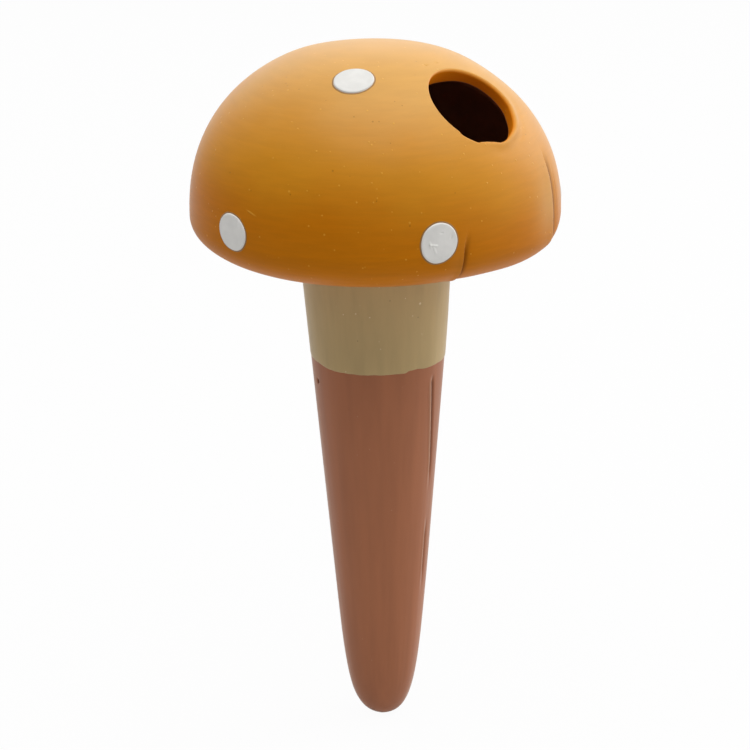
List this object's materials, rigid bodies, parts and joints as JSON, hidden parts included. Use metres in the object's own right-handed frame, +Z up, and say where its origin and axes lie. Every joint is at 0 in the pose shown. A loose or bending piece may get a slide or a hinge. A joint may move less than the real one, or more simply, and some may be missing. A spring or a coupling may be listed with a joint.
{
  "type": "plant waterer",
  "caption": "Mushroom-shaped terracotta plant waterer: a hollow spotted cap with a fill mouth on its shoulder, over a painted neck and a tapered porous spike that is pushed into the soil.",
  "frame": {"origin": "on the stem's axis at the soil line, the lower edge of the neck's paint", "axes": "+Z up the stem towards the cap's crown, -Y towards the front, +X to the right; the fill mouth is on the front right shoulder"},
  "size_m": [0.1024, 0.1021, 0.1975],
  "materials": {
    "mustard_paint": "matt mustard paint, brushed over fired clay",
    "khaki_paint": "matt khaki paint over fired clay",
    "white_paint": "satin white paint, thickly dabbed",
    "bare_terracotta": "bare unglazed terracotta, porous"
  },
  "bodies": {
    "root": {"cap_dome": "mustard_paint", "cap_underside": "mustard_paint", "rim_slip_seam": "mustard_paint", "stem_slip_fillet": "bare_terracotta", "stem_spike": "bare_terracotta", "neck_paint_band": "khaki_paint", "lower_spot_1": "white_paint", "lower_spot_2": "white_paint", "lower_spot_3": "white_paint", "lower_spot_4": "white_paint", "lower_spot_5": "white_paint", "upper_spot_1": "white_paint", "upper_spot_2": "white_paint", "upper_spot_3": "white_paint"}
  },
  "joints": []
}
